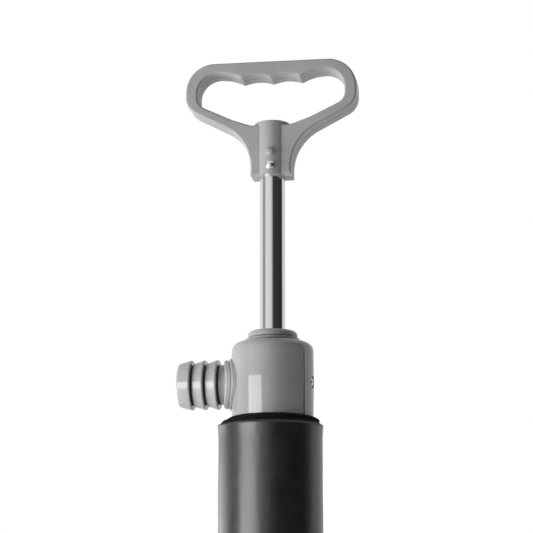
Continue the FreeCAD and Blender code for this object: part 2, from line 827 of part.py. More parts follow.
def foot_valve_stem():
    """The stem in the seat's centre that guides the foot valve and stops its lift."""
    tail = dim.stem_head - 1
    tail_bottom = dim.seat_bottom - 1.5
    crown_radius = dim.stem_head - 2
    crown = stem_stop + 2.5
    return turned("foot_valve_stem", [
        (0, tail_bottom),
        (tail, tail_bottom),
        (tail, dim.seat_bottom),
        (dim.pin_radius, dim.seat_bottom),
        (dim.pin_radius, stem_stop),
        (dim.stem_head, stem_stop),
        (dim.stem_head, stem_stop + dim.edge_break),
        (crown_radius, crown),
        (0, crown),
    ])


def foot_valve_disc():
    """The rubber disc that lets water in on the upstroke."""
    hole = dim.pin_radius + dim.running_gap * 2
    top = foot_valve_z + dim.valve_thickness
    return turned("foot_valve_disc", sleeve_outline(hole, dim.valve_radius, foot_valve_z, top))


# ---------------------------------------------------------------- piston


def piston_rod():
    """The polished tube between piston and handle, cross-drilled for its two pins."""
    top = grip_bottom + dim.rod_socket - 0.5
    body = turned("piston_rod", sleeve_outline(
        dim.rod_radius - dim.rod_wall, dim.rod_radius, rod_bottom, top))
    drill_cross_pins(body)
    return body


def drill_cross_pins(body):
    """Two holes front to back for the pins that join rod and handle."""
    sketch = new_sketch(body, "XZ_Plane")
    for height in (dim.upper_pin, dim.lower_rivet):
        add_circle(sketch, 0, edge_z + height, dim.pin_radius + dim.press_gap)
    return pocket(body, sketch, symmetric=True)


def rod_plug():
    """The plug in the rod's lower end, with the valve stop, shoulder and piston stud."""
    plug = dim.rod_radius - dim.rod_wall - dim.press_gap
    plug_top = rod_bottom + dim.plug_length
    return turned("rod_plug", [
        (0, piston_z),
        (dim.stud_radius, piston_z),
        (dim.stud_radius, plate_top),
        (dim.shoulder_radius, plate_top),
        (dim.shoulder_radius, valve_stop),
        (dim.rod_radius, valve_stop),
        (dim.rod_radius, rod_bottom),
        (plug, rod_bottom),
        (plug, plug_top),
        (0, plug_top),
    ])


def bump_ring():
    """The rubber ring above the piston that cushions the end of the upstroke."""
    inner = dim.rod_radius + dim.press_gap
    outer = inner + dim.bump_thickness
    return turned("bump_ring", sleeve_outline(inner, outer, rod_bottom, rod_bottom + dim.bump_height))


def piston_body():
    """The lower piston disc with the hub that carries the cup seal."""
    hole = dim.stud_radius + dim.press_gap
    bottom = cup_bottom - dim.disc_thickness
    hub_top = cup_bottom + dim.hub_height
    body = turned("piston_body", [
        (hole, bottom),
        (dim.piston_radius - dim.edge_break, bottom),
        (dim.piston_radius, bottom + dim.edge_break),
        (dim.piston_radius, cup_bottom),
        (dim.piston_hub, cup_bottom),
        (dim.piston_hub, hub_top),
        (hole, hub_top),
    ])
    ring_of_holes(body, dim.port_radius, dim.port_circle, 6)
    return body


def piston_plate():
    """The upper piston disc that keeps the cup seal down and seats the piston valve."""
    hole = dim.stud_radius + dim.press_gap
    bottom = plate_top - dim.plate_thickness
    body = turned("piston_plate", [
        (hole, bottom),
        (dim.piston_radius, bottom),
        (dim.piston_radius, plate_top - dim.edge_break),
        (dim.piston_radius - dim.edge_break, plate_top),
        (hole, plate_top),
    ])
    ring_of_holes(body, dim.port_radius, dim.port_circle, 6)
    return body


def piston_cup_seal():
    """The rubber cup that wipes the bore; it slides with the piston but doesn't turn."""
    inner = dim.piston_hub + dim.cup_gap
    outer = dim.bore_radius - dim.running_gap
    bottom = cup_bottom + dim.cup_gap
    top = plate_top - dim.plate_thickness - dim.cup_gap
    waist = outer - 0.8
    lip_width = as_size(1.5)
    lip_height = as_size(4)
    web = bottom + 3
    return turned("piston_cup_seal", [
        (inner, bottom),
        (waist, bottom),
        (waist, top - lip_height),
        (outer, top - dim.edge_break),
        (outer, top),
        (outer - lip_width, top),
        (inner + dim.edge_break, web),
        (inner, web),
    ])


def piston_washer():
    """The washer between the piston's nut and its lower disc."""
    hole = dim.stud_radius + dim.running_gap
    top = cup_bottom - dim.disc_thickness
    bottom = top - dim.washer_thickness
    return turned("piston_washer", sleeve_outline(hole, dim.washer_radius, bottom, top))


def piston_nut():
    """The hexagon nut on the stud."""
    body = new_body("piston_nut")
    bottom = cup_bottom - dim.disc_thickness - dim.washer_thickness - dim.nut_height
    sketch = new_sketch(body, "XY_Plane", bottom)
    corners = [math.radians(60 * n) for n in range(6)]
    add_outline(sketch, [
        (dim.nut_corner * math.cos(corner), dim.nut_corner * math.sin(corner))
        for corner in corners
    ])
    pad(body, sketch, dim.nut_height)
    hole = new_sketch(body, "XY_Plane")
    add_circle(hole, 0, 0, dim.stud_radius + dim.press_gap)
    pocket(body, hole, reverse=True)
    return body


def piston_valve_disc():
    """The rubber disc that lets water up through the piston on the downstroke."""
    hole = dim.shoulder_radius + dim.running_gap * 2
    bottom = plate_top + dim.valve_gap
    top = bottom + dim.valve_thickness
    return turned("piston_valve_disc", sleeve_outline(hole, dim.valve_radius, bottom, top))


# ---------------------------------------------------------------- handle


def handle_grip():
    """The moulded handle: a flat loop with finger grooves on a round boss."""
    body = new_body("handle_grip")
    top = edge_z + dim.grip_top
    knee = edge_z + dim.grip_knee
    crotch = edge_z + dim.grip_crotch
    side = dim.grip_half_width
    block = dim.block_half_width
    outline = new_sketch(body, "XZ_Plane")
    add_outline(outline, [
        (-block, grip_bottom),
        (block, grip_bottom),
        (block, crotch),
        (side, knee),
        (side, top),
        (-side, top),
        (-side, knee),
        (-block, crotch),
    ])
    pad(body, outline, dim.grip_depth, symmetric=True)
    round_edges(body, dim.corner_round, depth_edge(side, top))
    round_edges(body, dim.knee_round, depth_edge(side, knee))
    round_edges(body, dim.crotch_round, depth_edge(block, crotch))

    pitch = dim.finger_pitch
    cusp = edge_z + dim.finger_cusp
    wide = dim.loop_half_width
    crown = edge_z + dim.loop_top
    bend_x = dim.loop_elbow_x
    bend = edge_z + dim.loop_elbow
    low = edge_z + dim.loop_floor
    loop = new_sketch(body, "XZ_Plane")
    add_outline(loop, [
        (block, low),
        (bend_x, bend),
        (wide, edge_z + dim.loop_knee),
        (wide, crown),
        (dim.outer_groove_x, crown, -dim.outer_groove_radius),
        (pitch, cusp, -dim.finger_radius),
        (0, cusp, -dim.finger_radius),
        (-pitch, cusp, -dim.outer_groove_radius),
        (-dim.outer_groove_x, crown),
        (-wide, crown),
        (-wide, edge_z + dim.loop_knee),
        (-bend_x, bend),
        (-block, low),
    ])
    pocket(body, loop, symmetric=True)
    round_edges(body, dim.loop_corner_round, depth_edge(wide, crown))
    round_edges(body, dim.loop_knee_round, depth_edge(wide, edge_z + dim.loop_knee))
    round_edges(body, dim.crotch_round, depth_edge(bend_x, bend))
    for place in (ZERO, pitch):
        round_edges(body, dim.cusp_round, depth_edge(place, cusp))

    def face_edge(edge):
        box = edge.BoundBox
        return box.YLength < 0.01 and abs(abs(box.YMin) - dim.grip_depth.value / 2) < 0.01

    round_edges(body, dim.edge_round, face_edge)
    boss = new_sketch(body, "XY_Plane", grip_bottom)
    add_circle(boss, 0, 0, dim.boss_radius)
    pad(body, boss, dim.boss_top - dim.grip_bottom)
    round_edges(body, dim.boss_round, ring_edge(dim.boss_radius, edge_z + dim.boss_top))
    socket = new_sketch(body, "XY_Plane", grip_bottom)
    add_circle(socket, 0, 0, dim.rod_radius + dim.press_gap)
    pocket(body, socket, reverse=True, depth=dim.rod_socket)
    drill_cross_pins(body)
    return body


def cross_pin(label, height):
    """A round pin with two domed heads, laid front to back through boss and rod."""
    seat = dim.boss_radius + dim.glue_gap
    crown = seat + dim.dome_height
    curve = (dim.dome_radius * dim.dome_radius + dim.dome_height * dim.dome_height)
    curve = curve / (dim.dome_height * 2)
    body = turned(label, [
        (0, -crown, -curve),
        (dim.dome_radius, -seat),
        (dim.pin_radius, -seat),
        (dim.pin_radius, seat),
        (dim.dome_radius, seat, -curve),
        (0, crown),
    ])
    lie_along(body, Vector(0, 1, 0), ZERO, edge_z + height)
    return body


# ---------------------------------------------------------------- build, check and write

PARTS = [
    barrel_tube,
    float_sleeve,
    pump_head,
    head_seal,
    head_screw,
    gland_nut,
    gland_seal,
    rod_bush,
    outlet_spout,
    foot_strainer,
    foot_screws,
    valve_seat,
    foot_seal,
    foot_valve_stem,
    foot_valve_disc,
    piston_rod,
    rod_plug,
    bump_ring,
    piston_body,
    piston_plate,
    piston_cup_seal,
    piston_washer,
    piston_nut,
    piston_valve_disc,
    handle_grip,
]

parts = [make() for make in PARTS]
parts.append(cross_pin("handle_pin", dim.upper_pin))
parts.append(cross_pin("handle_rivet", dim.lower_rivet))
doc.recompute()

for item in doc.Objects:
    if "Invalid" in item.State or "Error" in item.State:
        raise RuntimeError("%s is in a failed state: %s" % (item.Label, item.State))

os.makedirs("parts", exist_ok=True)
for part in parts:
    shape = part.Shape
    if shape.isNull() or not shape.isValid():
        raise RuntimeError("%s has no valid shape" % part.Label)
    shape.exportStep("parts/%s.step" % part.Label)
    box = shape.BoundBox
    print("%-18s %2d solid, %9.1f mm3, x %.1f..%.1f  z %.1f..%.1f" % (
        part.Label, len(shape.Solids), shape.Volume, box.XMin, box.XMax, box.ZMin, box.ZMax))
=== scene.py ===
import math

import bmesh
import bpy
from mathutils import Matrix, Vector, noise


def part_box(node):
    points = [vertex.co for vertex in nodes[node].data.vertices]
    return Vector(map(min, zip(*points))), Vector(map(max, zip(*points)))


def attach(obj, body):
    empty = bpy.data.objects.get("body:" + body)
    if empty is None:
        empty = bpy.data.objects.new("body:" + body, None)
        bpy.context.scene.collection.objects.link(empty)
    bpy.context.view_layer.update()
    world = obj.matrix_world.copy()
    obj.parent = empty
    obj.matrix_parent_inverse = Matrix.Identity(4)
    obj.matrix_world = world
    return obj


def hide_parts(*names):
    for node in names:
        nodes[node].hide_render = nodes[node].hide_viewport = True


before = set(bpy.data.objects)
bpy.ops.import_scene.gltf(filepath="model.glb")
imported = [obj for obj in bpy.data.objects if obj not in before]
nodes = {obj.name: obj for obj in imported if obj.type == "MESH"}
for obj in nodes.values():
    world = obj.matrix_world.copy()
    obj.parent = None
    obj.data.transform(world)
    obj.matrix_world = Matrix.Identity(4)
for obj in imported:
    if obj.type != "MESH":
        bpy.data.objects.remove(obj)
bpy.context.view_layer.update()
MM = 0.001

# ---------------------------------------------------------------- camera

CAMERA_AZIMUTH = 8.5
CAMERA_ELEVATION = -12.4
CAMERA_DISTANCE = 1.344
CAMERA_LENS = 128.3
AIM_ABOVE_FLOAT = 107.5 * MM
AIM_SIDEWAYS = -4.3 * MM


def look_at(obj, target):
    """Turns an object's -Z axis towards a point."""
    obj.rotation_mode = "QUATERNION"
    obj.rotation_quaternion = (Vector(target) - obj.location).to_track_quat("-Z", "Y")


def direction(azimuth, elevation):
    """Unit vector from the object towards a place round it; azimuth 0 is in front, on -Y."""
    a, e = math.radians(azimuth), math.radians(elevation)
    return Vector((math.sin(a) * math.cos(e), -math.cos(a) * math.cos(e), math.sin(e)))


def make_camera():
    """A long lens that looks up at the handle, with the rod near the middle."""
    side = direction(CAMERA_AZIMUTH + 90, 0)
    aim = Vector((0, 0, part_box("float_sleeve")[1].z + AIM_ABOVE_FLOAT)) + side * AIM_SIDEWAYS
    data = bpy.data.cameras.new("camera")
    data.lens = CAMERA_LENS
    camera = bpy.data.objects.new("camera", data)
    bpy.context.scene.collection.objects.link(camera)
    camera.location = aim + direction(CAMERA_AZIMUTH, CAMERA_ELEVATION) * CAMERA_DISTANCE
    look_at(camera, aim)
    bpy.context.scene.camera = camera


# ---------------------------------------------------------------- node trees


class Tree:
    """Adds nodes to a material or world and wires them up."""

    def __init__(self, owner):
        owner.use_nodes = True
        self.nodes = owner.node_tree.nodes
        self.links = owner.node_tree.links

    def add(self, kind, settings=None, **inputs):
        """A node with its properties set; an input is a value or another node's output."""
        node = self.nodes.new("ShaderNode" + kind)
        for name, value in (settings or {}).items():
            setattr(node, name, value)
        for name, value in inputs.items():
            self.set(node, name.replace("_", " "), value)
        return node

    def set(self, node, name, value):
        socket = node.inputs[name]
        if isinstance(value, bpy.types.NodeSocket):
            self.links.new(value, socket)
        else:
            socket.default_value = value

    def ramp(self, factor, stops):
        """A colour ramp from (position, grey or colour) stops."""
        node = self.add("ValToRGB", Fac=factor)
        elements = node.color_ramp.elements
        while len(elements) < len(stops):
            elements.new(0.5)
        for element, (position, colour) in zip(elements, stops):
            element.position = position
            element.color = grey(colour) if isinstance(colour, float) else (*colour, 1)
        return node.outputs["Color"]

    def spread(self, value, low, high):
        """Maps 0..1 on to low..high."""
        node = self.add("MapRange")
        for name, number in (("Value", value), ("To Min", low), ("To Max", high)):
            self.set(node, name, number)
        return node.outputs["Result"]


def grey(level):
    """An opaque grey."""
    return (level, level, level, 1)


# ---------------------------------------------------------------- stage and light

FLOOR_REACH = 6.0
FILL_LEVEL = 0.20
SURROUND_RADIUS = 1.5
SURROUND_TOP = 1.9
CARD_RADIUS = 1.4
CARD_BOTTOM = 0.02
CARD_STEPS = 96
# How light the surroundings look in reflections: degrees round from the camera, level.
SURROUND = [
    (-180, 0.95), (-101, 0.95), (-98, 0.42), (-70, 0.40), (-67, 0.95), (-14, 0.85),
    (6, 0.05), (86, 0.03), (93, 0.02), (99, 0.75), (145, 0.85), (180, 0.95),
]


def make_world():
    """A white background that lights the object only weakly from all round."""
    world = bpy.data.worlds.new("studio")
    tree = Tree(world)
    background = tree.nodes["Background"]
    background.inputs["Color"].default_value = grey(1.0)
    rays = tree.add("LightPath")
    fill = tree.spread(rays.outputs["Is Diffuse Ray"], 1.0, FILL_LEVEL)
    tree.links.new(fill, background.inputs["Strength"])
    bpy.context.scene.world = world
    bpy.context.scene.view_settings.view_transform = "Standard"


def only_in_reflections(obj):
    """A card that shows in glossy surfaces, but isn't seen and casts no light or shadow."""
    obj.visible_camera = False
    obj.visible_diffuse = False
    obj.visible_transmission = False
    obj.visible_shadow = False


def curved_card(name, azimuth_from, azimuth_to, radius, bottom, top):
    """A card standing round the object, at azimuths from the camera's."""
    verts, faces = [], []
    for n in range(CARD_STEPS + 1):
        azimuth = azimuth_from + (azimuth_to - azimuth_from) * n / CARD_STEPS
        spot = direction(azimuth, 0) * radius
        verts += [(spot.x, spot.y, bottom), (spot.x, spot.y, top)]
    for n in range(CARD_STEPS):
        faces.append((2 * n, 2 * n + 2, 2 * n + 3, 2 * n + 1))
    mesh = bpy.data.meshes.new(name)
    mesh.from_pydata(verts, [], faces)
    card = bpy.data.objects.new(name, mesh)
    bpy.context.scene.collection.objects.link(card)
    card.rotation_euler.z = math.radians(CAMERA_AZIMUTH)
    only_in_reflections(card)
    return card


def glowing(card, colour, strength):
    """Gives a card a glow: white where colour is None, else what colour(tree) returns."""
    material = bpy.data.materials.new(card.name)
    tree = Tree(material)
    glow = tree.add("Emission", Strength=strength)
    output = tree.nodes["Material Output"]
    tree.links.new(glow.outputs[0], output.inputs["Surface"])
    card.data.materials.append(material)
    if colour is not None:
        tree.set(glow, "Color", colour(tree))


def surround_pattern(tree):
    """The surround's level by azimuth: zero in front, at the card's local -Y."""
    place = tree.add("TexCoord").outputs["Object"]
    turned = tree.add("Mapping", Vector=place)
    turned.inputs["Rotation"].default_value.z = math.radians(90)
    around = tree.add("TexGradient", {"gradient_type": "RADIAL"}, Vector=turned.outputs[0])
    stops = [(azimuth / 360 + 0.5, level) for azimuth, level in SURROUND]
    return tree.ramp(around.outputs["Fac"], stops)


def make_cards():
    """What the glossy parts mirror: a surround with a dark side, a softbox and a rim card."""
    surround = curved_card("surround", -180, 180, SURROUND_RADIUS, 0.0, SURROUND_TOP)
    glowing(surround, surround_pattern, 1.0)
    low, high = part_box("outlet_spout")
    axis = (low.z + high.z) / 2
    softbox_top = axis + CARD_RADIUS * math.tan(math.radians(9.3))
    softbox = curved_card("softbox", -70, -31, CARD_RADIUS, CARD_BOTTOM, softbox_top)
    glowing(softbox, None, 7.0)
    rim_top = axis + CARD_RADIUS * math.tan(math.radians(4))
    rim_card = curved_card("rim_card", -150, -108, CARD_RADIUS, CARD_BOTTOM, rim_top)
    glowing(rim_card, None, 3.0)
    return surround, softbox, rim_card


def make_light(name, azimuth, elevation, distance, size, power, about):
    """A square area light aimed at a point, at an azimuth from the camera's.

    It doesn't show in reflections: the cards do that.
    """
    data = bpy.data.lights.new(name, "AREA")
    data.size = size
    data.energy = power
    lamp = bpy.data.objects.new(name, data)
    bpy.context.scene.collection.objects.link(lamp)
    lamp.location = Vector(about) + direction(CAMERA_AZIMUTH + azimuth, elevation) * distance
    look_at(lamp, about)
    lamp.visible_camera = False
    lamp.visible_glossy = False


def make_lights():
    """A key light on the left, and a low one that lifts the undersides on that side."""
    grip_low, grip_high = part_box("handle_grip")
    grip = (grip_low + grip_high) / 2
    middle = (0, 0, 0.45)
    make_light("key", -76, -4, 1.3, 0.8, 20, middle)
    make_light("low_left", -62, -38, 0.9, 0.7, 3, grip)


def make_floor():
    """A plain pale floor."""
    mesh = bpy.data.meshes.new("floor")
    reach = FLOOR_REACH
    corners = [(-reach, -reach, 0), (reach, -reach, 0), (reach, reach, 0), (-reach, reach, 0)]
    mesh.from_pydata(corners, [], [(0, 1, 2, 3)])
    floor = bpy.data.objects.new("floor", mesh)
    bpy.context.scene.collection.objects.link(floor)
    material = bpy.data.materials.new("floor")
    shader = Tree(material).nodes["Principled BSDF"]
    shader.inputs["Base Color"].default_value = grey(0.8)
    shader.inputs["Roughness"].default_value = 0.9
    shader.inputs["Emission Color"].default_value = grey(1.0)
    shader.inputs["Emission Strength"].default_value = 0.25
    mesh.materials.append(material)
    return floor


# ---------------------------------------------------------------- materials


class Finish:
    """The common part of every material: mottled colour, uneven gloss and a fine grain."""

    def __init__(self, name, dark, light, smooth, rough, metallic=0.0):
        self.material = bpy.data.materials.new(name)
        self.tree = Tree(self.material)
        self.shader = self.tree.nodes["Principled BSDF"]
        self.shader.inputs["Metallic"].default_value = metallic
        self.place = self.tree.add("TexCoord").outputs["Object"]
        self.dark, self.light = dark, light
        self.smooth, self.rough = smooth, rough
        self.heights = []

    def noise(self, scale, detail=2.0, stretch=(1, 1, 1)):
        """Noise with so many cells to the metre, squeezed by stretch along each axis."""
        squeezed = self.tree.add("Mapping", Vector=self.place)
        squeezed.inputs["Scale"].default_value = stretch
        node = self.tree.add("TexNoise", Vector=squeezed.outputs[0], Scale=scale, Detail=detail)
        return node.outputs["Fac"]

    def cells(self, scale):
        """Distance to the nearest of so many points to the metre."""
        return self.tree.add("TexVoronoi", Vector=self.place, Scale=scale).outputs["Distance"]

    def mask(self, pattern, low, high):
        """Maps low..high of a pattern on to 0..1, clamped."""
        node = self.tree.add("MapRange", Value=pattern)
        node.inputs["From Min"].default_value = low
        node.inputs["From Max"].default_value = high
        return node.outputs["Result"]

    def colour(self, pattern):
        self.tree.set(self.shader, "Base Color", self.tree.ramp(pattern, [
            (0.30, self.dark), (0.70, self.light)]))

    def gloss(self, pattern):
        self.tree.set(self.shader, "Roughness", self.tree.spread(pattern, self.smooth, self.rough))

    def bump(self, pattern, depth, strength=1.0):
        """Stacks a relief of this depth in metres on the ones before it."""
        node = self.tree.add("Bump", Height=pattern, Strength=strength, Distance=depth)
        if self.heights:
            self.tree.set(node, "Normal", self.heights[-1])
        self.heights.append(node.outputs["Normal"])
        self.tree.set(self.shader, "Normal", node.outputs["Normal"])

    def specular(self, level):
        self.shader.inputs["Specular IOR Level"].default_value = level


def make_handle_plastic():
    """Satin moulded plastic: fine grain, faint flow marks and slightly uneven grey."""
    finish = Finish("handle_plastic", (0.295, 0.297, 0.300), (0.350, 0.352, 0.354), 0.28, 0.42)
    flow = finish.noise(28, 3.0, (1, 1, 0.5))
    finish.colour(flow)
    finish.gloss(finish.noise(160, 4.0))
    finish.bump(finish.noise(2200, 2.0), 0.02 * MM, 0.4)
    finish.bump(finish.noise(55, 1.0), 0.10 * MM, 0.5)
    return finish.material


def make_head_plastic():
    """Glossy moulded plastic with a faint orange peel and hairline scuffs round it."""
    finish = Finish("head_plastic", (0.290, 0.292, 0.294), (0.330, 0.331, 0.332), 0.07, 0.17)
    finish.colour(finish.noise(35, 3.0))
    scuffs = finish.mask(finish.noise(120, 3.0, (0.4, 0.4, 9)), 0.55, 0.80)
    finish.gloss(scuffs)
    finish.bump(finish.noise(420, 1.0), 0.012 * MM, 0.4)
    finish.bump(finish.noise(60, 1.0), 0.05 * MM, 0.3)
    return finish.material


def make_spout_plastic():
    """The spout's plastic: the head's, made a little lighter as painted light, with turning marks
    round the barbs.
    """
    finish = Finish("spout_plastic", (0.36, 0.362, 0.364), (0.42, 0.421, 0.422), 0.05, 0.12)
    finish.colour(finish.noise(40, 3.0))
    rings = finish.noise(300, 2.0, (6, 0.3, 0.3))
    finish.gloss(rings)
    finish.bump(rings, 0.02 * MM, 0.35)
    return finish.material


def make_painted_shade_and_reflection():
    """Painted shade and painted dark reflection for the barbs' grooves and the head's seam: dull,
    near black and slightly grainy.
    """
    finish = Finish("painted_shade_and_reflection", (0.006, 0.006, 0.006), (0.030, 0.030, 0.030), 0.55, 0.80)
    grains = finish.noise(900, 4.0)
    finish.colour(grains)
    finish.gloss(grains)
    finish.bump(grains, 0.03 * MM, 0.5)
    return finish.material


def make_rod_steel():
    """Polished stainless tube: long fine draw marks and a few dull water spots."""
    finish = Finish("rod_steel", (0.66, 0.665, 0.67), (0.74, 0.742, 0.745), 0.04, 0.13, 1.0)
    draw_marks = finish.noise(900, 2.0, (1, 1, 0.006))
    finish.colour(draw_marks)
    finish.gloss(finish.mask(finish.noise(90, 4.0), 0.55, 0.85))
    finish.bump(draw_marks, 0.004 * MM, 0.4)
    return finish.material


def make_screw_steel():
    """Bright stainless for rivet and screws, with fine turning marks and a rubbed face."""
    finish = Finish("screw_steel", (0.60, 0.60, 0.61), (0.82, 0.82, 0.82), 0.08, 0.24, 1.0)
    finish.colour(finish.noise(500, 3.0))
    finish.gloss(finish.noise(700, 2.0))
    finish.bump(finish.noise(1500, 2.0), 0.01 * MM, 0.4)
    return finish.material


def make_foam_skin():
    """The foam's moulded skin: near black, softly glossy, with fine pits and slow waves."""
    finish = Finish("foam_skin", (0.007, 0.007, 0.008), (0.014, 0.014, 0.015), 0.26, 0.38)
    finish.specular(0.75)
    clouds = finish.noise(70, 5.0)
    finish.colour(clouds)
    finish.gloss(clouds)
    finish.bump(finish.noise(1500, 3.0), 0.10 * MM, 0.5)
    finish.bump(finish.noise(26, 2.0, (1, 1, 0.6)), 0.35 * MM, 0.6)
    return finish.material


def make_foam_cut():
    """The foam's cut bevel: matt black with open cells that catch the light as specks."""
    finish = Finish("foam_cut", (0.002, 0.002, 0.002), (0.012, 0.012, 0.012), 0.80, 0.98)
    finish.specular(0.08)
    pores = finish.cells(1100)
    finish.colour(pores)
    finish.gloss(finish.noise(900, 3.0))
    finish.bump(pores, 0.35 * MM, 0.9)
    return finish.material


def make_rubber():
    """Black seal rubber with a dull bloom."""
    finish = Finish("rubber", (0.014, 0.014, 0.014), (0.035, 0.035, 0.034), 0.42, 0.70)
    bloom = finish.noise(240, 4.0)
    finish.colour(bloom)
    finish.gloss(bloom)
    finish.bump(finish.noise(1800, 2.0), 0.03 * MM, 0.5)
    return finish.material


def make_barrel_plastic():
    """Extruded tube: satin grey with long extrusion lines and light scuffing."""
    finish = Finish("barrel_plastic", (0.27, 0.272, 0.275), (0.33, 0.331, 0.333), 0.20, 0.40)
    lines = finish.noise(500, 2.0, (1, 1, 0.01))
    finish.colour(finish.noise(60, 4.0))
    finish.gloss(finish.noise(110, 5.0))
    finish.bump(lines, 0.02 * MM, 0.5)
    return finish.material


def make_foot_plastic():
    """Satin grey moulded plastic of the strainer, scuffed and a little stained."""
    finish = Finish("foot_plastic", (0.24, 0.242, 0.245), (0.34, 0.341, 0.343), 0.30, 0.55)
    scuffs = finish.noise(140, 6.0)
    finish.colour(scuffs)
    finish.gloss(scuffs)
    finish.bump(finish.noise(1600, 2.0), 0.05 * MM, 0.5)
    return finish.material


def make_inner_plastic():
    """Off-white acetal of the pieces inside, with a waxy unevenness."""
    finish = Finish("inner_plastic", (0.62, 0.61, 0.58), (0.74, 0.73, 0.70), 0.28, 0.45)
    finish.colour(finish.noise(90, 3.0))
    finish.gloss(finish.noise(200, 3.0))
    finish.bump(finish.noise(900, 2.0), 0.03 * MM, 0.4)
    return finish.material


handle_plastic = make_handle_plastic()
head_plastic = make_head_plastic()
spout_plastic = make_spout_plastic()
painted_shade_and_reflection = make_painted_shade_and_reflection()
rod_steel = make_rod_steel()
screw_steel = make_screw_steel()
foam_skin = make_foam_skin()
foam_cut = make_foam_cut()
rubber = make_rubber()
barrel_plastic = make_barrel_plastic()
foot_plastic = make_foot_plastic()
inner_plastic = make_inner_plastic()

MATERIAL_OF = {
    "handle_grip": handle_plastic,
    "piston_rod": rod_steel,
    "pump_head": head_plastic,
    "gland_nut": head_plastic,
    "head_screw": screw_steel,
    "foot_screws": screw_steel,
    "barrel_tube": barrel_plastic,
    "foot_strainer": foot_plastic,
    "piston_washer": screw_steel,
    "piston_nut": screw_steel,
    "rod_plug": inner_plastic,
    "rod_bush": inner_plastic,
    "piston_body": inner_plastic,
    "piston_plate": inner_plastic,
    "foot_valve_seat": inner_plastic,
    "foot_valve_stem": inner_plastic,
}


def dress_nodes():
    """Gives every CAD node its material: rubber for seals, discs and what gets replaced."""
    for name, node in nodes.items():
        node.data.materials.clear()
        node.data.materials.append(MATERIAL_OF.get(name, rubber))


# ---------------------------------------------------------------- pieces made here


def new_piece(name, bm, materials):
    """Turns a bmesh into a smooth-shaded object in the scene."""
    mesh = bpy.data.meshes.new(name)
    bmesh.ops.recalc_face_normals(bm, faces=bm.faces)
    bm.to_mesh(mesh)
    bm.free()
    mesh.shade_smooth()
    for material in materials:
        mesh.materials.append(material)
    piece = bpy.data.objects.new(name, mesh)
    bpy.context.scene.collection.objects.link(piece)
    return piece


# The float, in millimetres; the flare's start is measured down from the bevel's edge.
BEVEL_HEIGHT = 5.2
BEVEL_BULGE = 0.8
RIM_FLARE = 0.6
RIM_ROUND = 2.2
FLARE_START = 15
FLARE_HEIGHT = 14
FOOT_ROUND = 6
SKIN_STEPS = 80
FLOAT_AROUND = 240
OFF_CENTRE = -1.5
SKIN_FROM_RADIUS = 33
SKIN_INSET = 0.15
SLOW_WAVE = 0.16
FAST_WAVE = 0.05


def float_profile(low, high):
    """(radius, height, is cut face) from the bore's lower end to the seat round the head."""
    rim = high.x / MM
    bottom, top = low.z / MM, high.z / MM
    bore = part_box("barrel_tube")[1].x / MM + 0.2
    head_bore = -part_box("pump_head")[0].y / MM + 0.25
    edge = top - BEVEL_HEIGHT
    body = rim - RIM_FLARE
    foot = bottom + FOOT_ROUND
    flare = edge - FLARE_START
    profile = [(bore, bottom + 1.5, True)]
    for n in range(9):
        turn = math.radians(90 * n / 8)
        radius = body - FOOT_ROUND + FOOT_ROUND * math.sin(turn)
        profile.append((radius, foot - FOOT_ROUND * math.cos(turn), n < 6))
    for n in range(1, SKIN_STEPS):
        profile.append((body, foot + (flare - foot) * n / SKIN_STEPS, False))
    for n in range(9):
        rise = n / 8
        profile.append((body + RIM_FLARE * rise ** 2.2, flare + FLARE_HEIGHT * rise, False))
    for n in range(1, 8):
        turn = math.radians(75 * n / 7)
        radius = rim - RIM_ROUND + RIM_ROUND * math.cos(turn)
        profile.append((radius, edge - RIM_ROUND + RIM_ROUND * math.sin(turn), n > 2))
    start_radius, start_height, _ = profile[-1]
    for n in range(1, 11):
        rise = n / 10
        radius = start_radius + (head_bore - start_radius) * rise
        height = start_height + (top - 0.4 - start_height) * rise
        profile.append((radius, height + BEVEL_BULGE * math.sin(math.pi * rise), True))
    profile.append((head_bore, edge - 14, True))
    return profile


def skin_wave(angle, height):
    """How far the foam's skin stands off a true cylinder, in millimetres."""
    place = Vector((math.cos(angle) * 2.2, math.sin(angle) * 2.2, height / 28))
    return SLOW_WAVE * noise.noise(place) + FAST_WAVE * noise.noise(place * 5)


def make_float():
    """The foam float: a slightly uneven skin, a flared rim and a cut, rounded bevel."""
    low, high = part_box("float_sleeve")
    profile = float_profile(low, high)
    bm = bmesh.new()
    rings = []
    for radius, height, _ in profile:
        ring = []
        outer = radius > SKIN_FROM_RADIUS
        for n in range(FLOAT_AROUND):
            angle = 2 * math.pi * n / FLOAT_AROUND
            r = radius + skin_wave(angle, height) - SKIN_INSET if outer else radius
            shift = OFF_CENTRE if outer else 0
            spot = (r * math.cos(angle) + shift, r * math.sin(angle), height)
            ring.append(bm.verts.new([value * MM for value in spot]))
        rings.append(ring)
    for level in range(len(rings) - 1):
        below, above = rings[level], rings[level + 1]
        cut = profile[level][2] and profile[level + 1][2]
        for n in range(FLOAT_AROUND):
            after = (n + 1) % FLOAT_AROUND
            face = bm.faces.new((below[n], below[after], above[after], above[n]))
            face.material_index = int(cut)
    piece = new_piece("foam_float", bm, [foam_skin, foam_cut])
    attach(piece, "barrel")
    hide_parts("float_sleeve")


# Turned pieces keep an edge crisp from this angle, in degrees.
SHARP_FROM = 35


def rounded(corner, before, after, radius, steps=6):
    """Points of an arc that rounds a corner, given the points before and after it."""
    corner = Vector(corner)
    back = (Vector(before) - corner).normalized()
    on = (Vector(after) - corner).normalized()
    half = back.angle(on) / 2
    centre = corner + (back + on).normalized() * (radius / math.sin(half))
    start = corner + back * (radius / math.tan(half)) - centre
    end = corner + on * (radius / math.tan(half)) - centre
    spread = start.angle(end)
    points = []
    for n in range(steps + 1):
        share = n / steps
        from_start = start * math.sin((1 - share) * spread)
        from_end = end * math.sin(share * spread)
        points.append(tuple(centre + (from_start + from_end) / math.sin(spread)))
    return points


